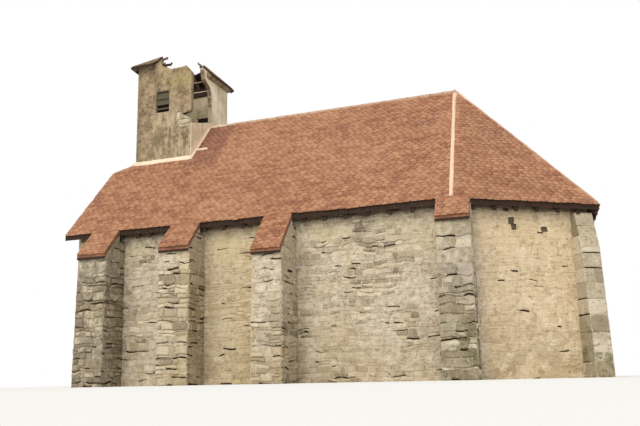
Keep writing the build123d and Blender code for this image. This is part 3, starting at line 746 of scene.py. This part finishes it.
def bend(bm, cells, shift, reach):      # the joints wander: points inside a face move along it
    edges = once(e for f in cells for e in f.edges)
    short = [e for e in edges if wander["long"] < e.calc_length() <= wander["longer"]]
    lengthy = [e for e in edges if e.calc_length() > wander["longer"]]
    bmesh.ops.bisect_edges(bm, edges=short, cuts=1)
    bmesh.ops.bisect_edges(bm, edges=lengthy, cuts=2)
    bm.normal_update()
    for vert, facing in innerVerts(bm, cells):
        push = noise.noise_vector(vert.co * wander["close"] + shift)
        push += noise.noise_vector(vert.co * wander["broad"])
        push += noise.noise_vector(vert.co * wander["fine"] + shift) * wander["fineShare"]
        push *= reach
        vert.co += push - facing * push.dot(facing)


def dressWall(node, size, chance, wanted, levels=None, sootAndShade=None, holes=(), smear=None):
    bm = mergedCopy(node)
    toneLayer = layer(bm, "tone")
    sootAndShadeLayer = layer(bm, "sootAndShade")
    smearLayer = layer(bm, "smear")
    faces = [f for f in bm.faces if abs(f.normal.z) < 0.4 and wanted(f)]
    for face in bm.faces:
        face[toneLayer] = 0.5
        face[sootAndShadeLayer] = sootAndShade(face) if sootAndShade else 0
    lowest = min(v.co.z for f in faces for v in f.verts)
    highest = max(v.co.z for f in faces for v in f.verts)
    for level in levels or courseLevels(size, chance, lowest, highest):
        if lowest + 0.02 < level < highest - 0.02:
            tilt = [swing(chance, cutting["tilt"]) for axis in range(2)]
            faces = cutFaces(bm, faces, (0, 0, level), (*tilt, 1))
    bm.normal_update()
    stones, gaps = cutStones(bm, faces, size, chance)
    missing = []
    for hole in holes:      # putlog holes, each a short length of the stone nearest to its place
        stone = min(stones, key=lambda f: (centre(f) - Vector(hole)).length)
        stones.remove(stone)
        along = stone.normal.cross(up).normalized()
        middle = centre(stone)
        wide = chance.uniform(*putlog["half"])
        parts = [stone]
        for end in (-wide, wide):
            lean = up * swing(chance, putlog["lean"])
            parts = cutFaces(bm, parts, middle + along * end, along + lean)
        parts.sort(key=lambda f: (centre(f) - middle).length)
        missing += parts[:1]
        stones += parts[1:]
    bend(bm, stones + gaps + missing, Vector((chance.uniform(0, 9), chance.uniform(0, 9), 0)), size["wobble"])
    for face in stones:
        place = centre(face)
        cover = size["smear"] + 0.6 * noise.noise(place * 0.75) + 0.4 * noise.noise(place * 2.3)
        face[smearLayer] = min(max(cover + (smear(place) if smear else 0), 0), 1)
        face[toneLayer] = chance.uniform(0.06, 1)
    for face in missing + gaps:
        face.material_index = jointCoat
        face[toneLayer] = putlog["tone"] if face in missing else 0
        face[smearLayer] = 0
    if missing:
        bmesh.ops.inset_individual(bm, faces=missing, thickness=putlog["rim"], depth=-putlog["depth"])
    if gaps:
        bmesh.ops.inset_individual(bm, faces=gaps, thickness=cutting["gapRim"], depth=-cutting["gapDepth"])
    raiseStones(bm, stones, size, toneLayer, smearLayer)
    for vert in bm.verts:
        vert.co.z = max(vert.co.z, 0)
    return bm


# The courses run round the walls at the same levels, on the faces that show
wallLevels = courseLevels(rubbleWall, random.Random(11), 0, 4.4)
walls = {
    "nave_south_wall": lambda f: f.normal.y < -0.9,
    "nave_north_wall": lambda f: f.normal.y > 0.9,
    "apse_southeast_wall": lambda f: f.normal.y < -0.3 and f.normal.x > 0.3,
    "apse_northeast_wall": lambda f: f.normal.y > 0.3 and f.normal.x > 0.3,
    "apse_east_wall": lambda f: f.normal.x > 0.9,
    "west_wall_south": lambda f: f.normal.x < -0.9 or f.normal.y < -0.9,
    "west_wall_north": lambda f: f.normal.x < -0.9 or f.normal.y > 0.9,
    "west_gable": lambda f: f.normal.x < -0.9 or abs(f.normal.y) > 0.99,
}
putlogHoles = {"apse_southeast_wall": [(4.57, -2.58, 3.78), (4.68, -2.51, 3.54), (4.824, -2.429, 3.42),
                                       (5.305, -2.145, 3.39), (5.438, -2.067, 3.4)]}


def naveSmear(place):      # smoother under the eave, in the west bays and beside the fourth buttress
    return 0.25 * (place.z > 3.35) + 0.18 * (place.x < -1.6) + 0.2 * (place.x > 2.7)


for order, (node, wanted) in enumerate(walls.items()):
    levels = None if node == "west_gable" else wallLevels
    size = dict(rubbleWall, smear=0.55, gap=0.02) if "apse" in node else rubbleWall
    holes = putlogHoles.get(node, ())
    bm = dressWall(node, size, random.Random(20 + order), wanted, levels, None, holes, naveSmear)
    addStones(node, bm, [rubble, joint])
print("walls dressed")

buttressStone = dict(rubbleWall, course=(0.07, 0.2), stone=(0.12, 0.38), crown=0.018, wobble=0.055,
                     relief=0.024, joint=0.009, gap=0.22)
mixedStone = dict(rubbleWall, course=(0.12, 0.3), stone=(0.14, 0.4), split=0.15, joint=0.008, wobble=0.06,
                  relief=0.022, gap=0.3, smear=0.1)
mixedLevels = [0.21, 0.33, 0.5, 0.62, 0.79, 0.89, 1.01, 1.2, 1.29, 1.4, 1.56, 1.64, 1.72, 1.8, 1.93, 2.19,
               2.46, 2.78, 3.1]
ashlarStone = dict(rubbleWall, course=(0.3, 0.42), stone=(0.36, 0.6), split=0, joint=0.005, wobble=0.01,
                   relief=0.006, gap=0.08, smear=0.3)
# From the west: soot in front, soot and painted shade on the east flank, smear, and how far down a wash of
# mortar reaches
buttressLook = [(0.75, 0.75, 0.27, 2.8), (0.05, 0.3, 0.32, 2.8), (0, 0.15, 0.37, 2.45),
                (0.35, 0.3, 0.1, 2.45)]


def dressButtress(node, number):
    front, flank, cover, washed = buttressLook[number - 1]
    mixed = number == 4
    size = mixedStone if mixed else dict(buttressStone, smear=cover)
    # Soot in front, and on the east flank soot and painted shade
    bm = dressWall(node, size, random.Random(40 + number), lambda f: True, mixedLevels if mixed else None,
                   lambda f: flank if f.normal.x > 0.9 else front, (), lambda place: 0.5 * (place.z > washed))
    addStones(node, bm, [ashlar if mixed else rubble, joint])


for side in ("south", "north"):
    for number in range(1, 5):
        dressButtress(side + "_buttress_" + str(number), number)
    node = "apse_" + side + "_buttress"
    bm = dressWall(node, ashlarStone, random.Random(50), lambda f: True)
    addStones(node, bm, [ashlar, dressedJoint])
print("buttresses dressed")


# Belfry: rough render outside, plaster inside, and the stones bare where the render has broken off
belfryWall = dict(rubbleWall, course=(0.07, 0.12), stone=(0.08, 0.2), split=0, relief=0.022, gap=0,
                  joint=0.008, wobble=0.02, smear=0.2)
renderCell = {"course": 0.09, "tilt": 0.02, "rough": 0.007, "greyFrom": 7.7, "coreFrom": 8.4}
# Bare stones round the chipped corner of the south wall
chip = {"place": (belfryEast - 0.22, -belfryHalf, 7.84), "radius": 0.27, "ragged": 0.16}
# Where each coat comes in the materials of a belfry wall; its broken core looks like the joints
coat = {"grey": 0, "core": jointCoat, "inside": 2, "bare": 3, "pale": 4}


def bareStone(place):
    near = (place - Vector(chip["place"])).length + chip["ragged"] * noise.noise(place * 5)
    return place.y < 0.01 - belfryHalf and near < chip["radius"]


def belfryCoat(face):
    place = centre(face)
    facing = face.normal
    if facing.y < -0.9 and place.y < 0.01 - belfryHalf or facing.x < -0.9 and place.x < belfryWest + 0.01:
        return coat["grey"]
    if facing.y > 0.9 and place.y > belfryHalf - 0.01 or facing.x > 0.9 and place.x > belfryEast - 0.01:
        return coat["pale"]
    return coat["inside" if max(abs(c) for c in facing) > 0.999 else "core"]


def dressBelfry(node, chance):
    bm = mergedCopy(node)
    toneLayer = layer(bm, "tone")
    smearLayer = layer(bm, "smear")
    for face in bm.faces:
        face[toneLayer] = 0.5
        face.material_index = belfryCoat(face)
    faces = [f for f in bm.faces if f.material_index != coat["inside"]]
    endsDark = node == "belfry_south_wall"
    low = min(v.co.z for f in faces for v in f.verts)
    high = max(v.co.z for f in faces for v in f.verts)
    for i in range(1, int((high - low) / renderCell["course"]) + 1):
        tilt = [swing(chance, renderCell["tilt"]) for axis in range(2)]
        faces = cutFaces(bm, faces, (0, 0, low + renderCell["course"] * i), (*tilt, 1))
    bm.normal_update()
    for face in faces:      # the south wall's end is grey high up, and low down the others show no core
        height = centre(face).z
        if endsDark and face.material_index == coat["pale"] and height > renderCell["greyFrom"]:
            face.material_index = coat["grey"]
        if not endsDark and face.material_index == coat["core"] and height < renderCell["coreFrom"]:
            face.material_index = coat["pale"]
    cells = cutStones(bm, [f for f in faces if f.material_index != coat["core"]], belfryWall, chance)[0]
    bend(bm, cells, Vector((chance.uniform(0, 9), 0, 0)), belfryWall["wobble"])
    broken = [f for f in cells if bareStone(centre(f))]
    for face in broken:
        face[toneLayer] = chance.random()
        face[smearLayer] = belfryWall["smear"]
        face.material_index = coat["bare"]
    for vert, facing in innerVerts(bm, cells):
        lump = noise.noise(vert.co * 3.7) + 0.5 * noise.noise(vert.co * 11)
        vert.co += facing * (lump - 0.4) * renderCell["rough"]
    raiseStones(bm, broken, belfryWall, toneLayer, smearLayer)
    return bm


for order, side in enumerate(("south", "west", "north", "east")):
    node = "belfry_" + side + "_wall"
    bm = dressBelfry(node, random.Random(60 + order))
    addStones(node, bm, [belfryStone, joint, plaster, rubble, belfryRender])


# Timber bars: one bevelled bar laid from point to point
def barPlace(start, end, wide, deep, face=(0, -1, 0)):
    run = Vector(end) - Vector(start)
    across = Vector(face).normalized().cross(run).normalized()
    return turned([run, across * wide, run.normalized().cross(across) * deep], start)


bm = block((1, 1, 1), (0.5, 0, 0))
long = [e for e in bm.edges if abs(e.verts[0].co.x - e.verts[1].co.x) > 0.5]
bmesh.ops.bevel(bm, geom=long, offset=0.12, segments=1, profile=0.5, material=-1, affect="EDGES")
barShape = meshOf(bm, "bar")


def addBars(name, material, seed, bars):
    chance = random.Random(seed)
    places = [barPlace(*bar) for bar in bars]
    addPiece(name, repeated(name, barShape, places, [chance.random() for bar in bars]), [material])


# Dark boards close the back of the three louvred openings, shutters painted near black as the shade inside
opening = {"width": 0.47, "sill": 8.2, "head": 8.91, "depth": 0.124, "south": -0.055, "north": 0.14,
           "raised": 0.28, "boards": 4, "gap": 0.004, "board": 0.012}
belfryMiddle = (belfryWest + belfryEast) / 2
backing = []
for i in range(opening["boards"]):
    off = opening["width"] * ((i + 0.5) / opening["boards"] - 0.5)
    sawn = opening["width"] / opening["boards"] - opening["gap"], opening["board"]
    x = belfryMiddle + opening["south"] + off
    y = opening["depth"] - belfryHalf
    backing.append(((x, y, opening["sill"]), (x, y, opening["head"]), *sawn))
    x = belfryMiddle + opening["north"] + off
    low = opening["sill"] + opening["raised"]
    backing.append(((x, -y, low), (x, -y, opening["head"] + opening["raised"]), *sawn))
    x = belfryWest + opening["depth"]
    backing.append(((x, off, opening["sill"]), (x, off, opening["head"]), *sawn, (-1, 0, 0)))
addBars("belfry_backing", darkBoard, 61, backing)

# Each bar's start, end, width, depth and facing: laths over a shutter inside the north wall, then splinters
# of the boarding and a fallen rafter at the south-west corner
inner = belfryHalf - 0.14      # the north wall's inner face
sawnLaths = [((-5.5, 0.868, 10.083), (-4.92, 0.868, 10.083), 0.035, 0.016, (0, -0.55, -0.83)),
             ((-5.53, inner - 0.058, 9.812), (-4.4, inner - 0.058, 9.812), 0.03, 0.014)]
splinters = [((-5.37, -1.165, 9.72), (-5.365, -1.17, 9.965), 0.07, 0.02),
             ((-5.3, -1.165, 9.72), (-5.29, -1.16, 9.91), 0.06, 0.02),
             ((-5.235, -1.165, 9.68), (-5.215, -1.17, 9.85), 0.06, 0.02),
             ((-5.17, -1.165, 9.64), (-5.17, -1.16, 9.78), 0.05, 0.02)]
fallen = [((-5.42, -1.19, 9.765), (-4.98, -1.19, 9.735), 0.06, 0.05),
          ((-5.0, -1.19, 9.72), (-4.955, -1.19, 9.8), 0.04, 0.04)]
addBars("belfry_shutter", plaster, 62,
        [((-5.31, inner - 0.007, z), (-4.77, inner - 0.007, z), 0.114, 0.014) for z in (8.92, 9.035, 9.15)])
addBars("belfry_laths", lath, 63, sawnLaths)
addBars("belfry_splinters", greyOak, 64, splinters)
addBars("belfry_fallen_rafter", shadedOak, 65, fallen)
print("belfry dressed")


# Mortar wiped over the foot of the east face, from the corner to the breach
skin = {"columns": 24, "rows": 22, "thickness": 0.014, "rough": 0.006, "south": -belfryHalf - 0.004,
        "north": 0.05, "top": 7.72, "climb": 0.37, "wave": 0.04, "sunk": 0.04}
bm = bmesh.new()
bmesh.ops.create_grid(bm, x_segments=skin["columns"], y_segments=skin["rows"], size=0.5)
for vert in bm.verts:
    y = skin["south"] + (vert.co.x + 0.5) * (skin["north"] - skin["south"])
    low = roofHeight(y) - skin["sunk"]
    high = skin["top"] + skin["climb"] * (y + belfryHalf) + skin["wave"] * noise.noise(Vector((0, y * 6, 3)))
    z = low + (vert.co.y + 0.5) * max(high - low, 0.02)
    proud = skin["thickness"] + skin["rough"] * noise.noise(Vector((0, y * 5, z * 5)))
    vert.co = (belfryEast + proud, y, z)
bmesh.ops.recalc_face_normals(bm, faces=bm.faces)
if sum(f.normal.x for f in bm.faces) < 0:
    bmesh.ops.reverse_faces(bm, faces=bm.faces)
bmesh.ops.solidify(bm, geom=bm.faces, thickness=skin["thickness"])
bmesh.ops.recalc_face_normals(bm, faces=bm.faces)
smooth(bm)
addPiece("belfry_foot_mortar", bm, [belfryRender])

# Mortar: each fillet is its solid in short lengths, raised over the tiles and left rough
mortarLayer = {"cell": 0.09, "rough": 0.009, "wander": 0.012, "narrower": 0.36, "eastNarrower": 0.54}
hipFoot = Vector((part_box("apse_east_roof")[1].x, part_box("apse_east_roof")[1].y, 0))


def cutLengths(bm, step):
    corners = [v.co for v in bm.verts]
    for axis, direction in enumerate((Vector((1, 0, 0)), Vector((0, 1, 0)))):
        low = min(c[axis] for c in corners)
        high = max(c[axis] for c in corners)
        for i in range(1, int((high - low) / step)):
            cutFaces(bm, bm.faces, direction * (low + i * step), direction)


def narrowHips(bm):      # each point moves towards its hip's middle line
    for vert in bm.verts:
        side = 1 if vert.co.y > 0 else -1
        if vert.co.x - apexX < 0.35 * abs(vert.co.y):
            along = Vector((0.1, eaveHalf * side, 0)).normalized()
            share = mortarLayer["narrower"]
        else:
            along = Vector((hipFoot.x - apexX, hipFoot.y * side, 0)).normalized()
            share = mortarLayer["eastNarrower"]
        off = Vector((vert.co.x - apexX, vert.co.y, 0))
        vert.co -= (off - along * off.dot(along)) * share


for node, raised in {"hip_fillets": 0.04, "belfry_flashing": 0.024}.items():
    bm = mergedCopy(node)
    cutLengths(bm, mortarLayer["cell"])
    bm.normal_update()
    if node == "hip_fillets":
        narrowHips(bm)
    for vert in bm.verts:
        if any(f.normal.z > 0.3 for f in vert.link_faces):
            sway = noise.noise_vector(vert.co * 5.5) * mortarLayer["wander"]
            lump = noise.noise(vert.co * 7) + 0.5 * noise.noise(vert.co * 17)
            vert.co += Vector((sway.x, sway.y, raised + lump * mortarLayer["rough"]))
    smooth(bm)
    addPiece(node + "_mortar", bm, [limeMortar], [node])

# Ridge: half-round tiles, uneven, over a mortar bed that squeezes out below them
ridgeBed = {"wider": 1.05, "uneven": 0.15, "flatFrom": 8.0, "flat": 0.3, "rough": 0.006}
bm = mergedCopy("ridge_tiles")
cutLengths(bm, mortarLayer["cell"])
for vert in bm.verts:
    lump = noise.noise(vert.co * 7)
    vert.co.y *= ridgeBed["wider"] + ridgeBed["uneven"] * lump
    if vert.co.z > ridgeBed["flatFrom"]:
        vert.co.z = ridgeBed["flatFrom"] + (vert.co.z - ridgeBed["flatFrom"]) * ridgeBed["flat"]
    vert.co.z += ridgeBed["rough"] * lump
smooth(bm)
addPiece("ridge_mortar", bm, [limeMortar], ["ridge_tiles"])

ridgeTile = {"radius": 0.1, "length": 0.335, "spacing": 0.33, "thickness": 0.014, "turn": 0.02, "tilt": 0.012,
             "lift": 0.008, "top": 0.002, "climb": 0.005}
bm = bmesh.new()
quarter = Matrix.Rotation(math.pi / 2, 4, "Y")
bmesh.ops.create_circle(bm, segments=20, radius=ridgeTile["radius"], matrix=quarter)
bmesh.ops.delete(bm, geom=[v for v in bm.verts if v.co.z < 0.02], context="VERTS")
arch = bmesh.ops.extrude_edge_only(bm, edges=bm.edges)["geom"]
moved = [g for g in arch if isinstance(g, bmesh.types.BMVert)]
bmesh.ops.translate(bm, vec=(ridgeTile["length"], 0, 0), verts=moved)
bmesh.ops.recalc_face_normals(bm, faces=bm.faces)
bmesh.ops.solidify(bm, geom=bm.faces, thickness=ridgeTile["thickness"])
bmesh.ops.recalc_face_normals(bm, faces=bm.faces)
halfRound = meshOf(bm, "halfround")
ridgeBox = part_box("ridge_tiles")
count = round((ridgeBox[1].x - ridgeBox[0].x) / ridgeTile["spacing"])
chance = random.Random(70)
places = []
for i in range(count):
    x = ridgeBox[0].x + i * (ridgeBox[1].x - ridgeBox[0].x) / count
    tilt = Matrix.Rotation(swing(chance, ridgeTile["turn"]), 4, "Z")
    tilt = tilt @ Matrix.Rotation(swing(chance, ridgeTile["tilt"]), 4, "Y")
    crest = ridgeTop + ridgeTile["top"] + ridgeTile["climb"] * x + chance.uniform(0, ridgeTile["lift"])
    places.append(Matrix.Translation((x, 0, crest - ridgeTile["radius"])) @ tilt)
ridgeMesh = repeated("ridge_halfround", halfRound, places, [chance.random() for i in places])
addPiece("ridge_halfround", ridgeMesh, [ridgeClay])

# A mortar ledge on the tiles beside the belfry's south-east corner
ledge = {"size": (0.46, 0.09, 0.06), "east": 0.22, "y": -1.0, "lift": 0.05, "cell": 0.06, "rough": 0.012}
middle = (belfryEast + ledge["east"], ledge["y"], roofHeight(ledge["y"]) + ledge["lift"])
bm = block(ledge["size"], middle)
cutLengths(bm, ledge["cell"])
for vert in bm.verts:
    vert.co += noise.noise_vector(vert.co * 9) * ledge["rough"]
addPiece("belfry_ledge", bm, [limeMortar])
print("mortar and ridge laid")


# Buttress caps: edges under the tiles in painted shade, and below them mortar at the sides and timber in
# front, painted near black as shade
capEdge = 0.045
bm = mergedCopy("buttress_caps")
for side in (-1, 1):
    slope = Vector((0, side * roofPitch, 1)).normalized()
    faces = [f for f in bm.faces if centre(f).y * side > 0]
    cutFaces(bm, faces, Vector((0, side, roofHeight(1))) - slope * capEdge, slope)
bm.normal_update()
smearLayer = layer(bm, "smear")
for face in bm.faces:
    place = centre(face)
    below = (roofHeight(place.y) - place.z) / math.hypot(1, roofPitch)
    face[smearLayer] = 0.1
    face.material_index = 0 if below < capEdge else 1 if abs(face.normal.x) > 0.9 else 2
addPiece("buttress_caps_bed", bm, [roofEdge, rubble, shadedOak], ["buttress_caps"])

# West doorway: wedge stones round the arch, square ones in the jambs, and a ledged plank door with a latch
doorway = {"wedges": 11, "course": 0.33, "courses": 5, "smear": 0.3}
surroundStone = dict(rubbleWall, joint=0.007, relief=0.008, crown=0.008)
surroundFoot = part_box("west_door_surround")[0].z
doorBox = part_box("west_door")
reach = doorBox[1].y
spring = doorBox[1].z - reach      # where the arch springs from the jambs
bm = mergedCopy("west_door_surround")
toneLayer = layer(bm, "tone")
smearLayer = layer(bm, "smear")
shown = [f for f in bm.faces
         if f.normal.x < -0.9 or abs(f.normal.y) > 0.9 and centre(f).z < spring]
shown = cutFaces(bm, shown, (0, 0, spring), up)
wedges = [f for f in shown if centre(f).z > spring]
jambs = [f for f in shown if centre(f).z < spring]
for i in range(1, doorway["wedges"]):
    angle = math.pi * i / doorway["wedges"]
    wedges = cutFaces(bm, wedges, (0, 0, spring), (0, math.sin(angle), -math.cos(angle)))
for i in range(1, doorway["courses"]):
    jambs = cutFaces(bm, jambs, (0, 0, surroundFoot + i * doorway["course"]), up)
chance = random.Random(80)
for face in bm.faces:
    face[toneLayer] = chance.random()
    face[smearLayer] = doorway["smear"]
bm.normal_update()
raiseStones(bm, wedges + jambs, surroundStone, toneLayer, smearLayer)
for face in bm.faces:
    if face.material_index == jointCoat:
        face[toneLayer] = 0.5
        face[smearLayer] = 0
addStones("west_door_surround", bm, [ashlar, dressedJoint])

door = {"planks": 7, "thickness": 0.014, "gap": 0.006, "margin": 0.01, "ledge": (0.1, 0.02),
        "ledges": (0.8, 1.45, 2.1), "short": 0.03, "latch": (0.045, 0.03), "latchEnds": (1.3, 1.6),
        "latchIn": 0.2, "latchOut": 0.016}
west = (-1, 0, 0)
front = doorBox[0].x - door["thickness"] / 2
half = reach / door["planks"]
planks = []
for i in range(door["planks"]):
    y = reach * ((2 * i + 1) / door["planks"] - 1)
    edge = abs(y) + half
    top = spring + math.sqrt(max(reach * reach - edge * edge, 0)) - door["margin"]
    low = doorBox[0].z + door["margin"]
    planks.append(((front, y, low), (front, y, top), 2 * half - door["gap"], door["thickness"], west))
addBars("west_door_planks", greyBoard, 81, planks)
ledgeX = front - door["thickness"]
end = reach - door["short"]
ledges = [((ledgeX, -end, z), (ledgeX, end, z), *door["ledge"], west) for z in door["ledges"]]
latch = [(ledgeX - door["latchOut"], reach - door["latchIn"], z) for z in door["latchEnds"]]
ledges.append((*latch, *door["latch"], west))
addBars("west_door_ledges", greyOak, 82, ledges)
print("doorway dressed")

# The solids that keep their own shape get their finish, and the other ones are oak, painted near black as the
# shade under the eaves
finishes = {"belfry_eave_cove": covePlaster, "belfry_rafters": greyOak, "belfry_louvres": greyBoard,
            "west_door": greyBoard, "west_door_sill": ashlar}
for node, piece in nodes.items():
    piece.data.materials.clear()
    piece.data.materials.append(finishes.get(node, shadedOak))


def staged(name, data):      # an object that belongs to the picture and not to the part
    thing = bpy.data.objects.new(name, data)
    scene.collection.objects.link(thing)
    return thing


# Camera at the photograph's standpoint
view = {"place": (1.6177 + apexX, -17.9946, 0.05), "yaw": 17.6232, "pitch": 10.0596, "roll": -1.1311,
        "focal": 662.92, "width": 640, "rise": 50, "sensor": 36}
camera = staged("camera", bpy.data.cameras.new("camera"))
camera.matrix_world = Matrix.Translation(view["place"])
for angle, axis in ((view["yaw"], "Z"), (90 + view["pitch"], "X"), (view["roll"], "Z")):
    camera.matrix_world = camera.matrix_world @ Matrix.Rotation(math.radians(angle), 4, axis)
camera.data.sensor_width = view["sensor"]
camera.data.lens = view["focal"] / view["width"] * view["sensor"]
camera.data.shift_y = view["rise"] / view["width"]
camera.data.clip_end = 500
scene.camera = camera

# A soft sun, a bright sky that looks white to the camera, and a pale floor
light = {"sun": 2.2, "softness": 50, "colour": (1, 0.965, 0.91), "from": (-0.12, -1, 0.85), "sky": 0.72}
sun = staged("sun", bpy.data.lights.new("sun", "SUN"))
sun.data.energy = light["sun"]
sun.data.angle = math.radians(light["softness"])
sun.data.color = light["colour"]
sun.rotation_euler = Vector(light["from"]).to_track_quat("Z", "Y").to_euler()

world = bpy.data.worlds.new("sky")
scene.world = world
world.use_nodes = True
lit = world.node_tree.nodes["Background"]
cameraRay = Wire(world.node_tree).node("ShaderNodeLightPath", output=0)
strength = light["sky"] + cameraRay * (1 - light["sky"])
lit.inputs["Color"].default_value = (1, 1, 1, 1)
world.node_tree.links.new(strength.socket, lit.inputs["Strength"])

bm = bmesh.new()
bmesh.ops.create_grid(bm, x_segments=1, y_segments=1, size=120)
floor = staged("floor", meshOf(bm, "floor"))
pale = bpy.data.materials.new("palefloor")
pale.use_nodes = True
paleShader = pale.node_tree.nodes["Principled BSDF"]
paleShader.inputs["Base Color"].default_value = (0.82, 0.82, 0.8, 1)
paleShader.inputs["Roughness"].default_value = 1
floor.data.materials.append(pale)
floor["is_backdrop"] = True

scene.view_settings.view_transform = "Standard"
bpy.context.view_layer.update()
total = sum(len(p.vertices) - 2 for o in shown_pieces() for p in o.data.polygons)
print("triangles in all:", total)
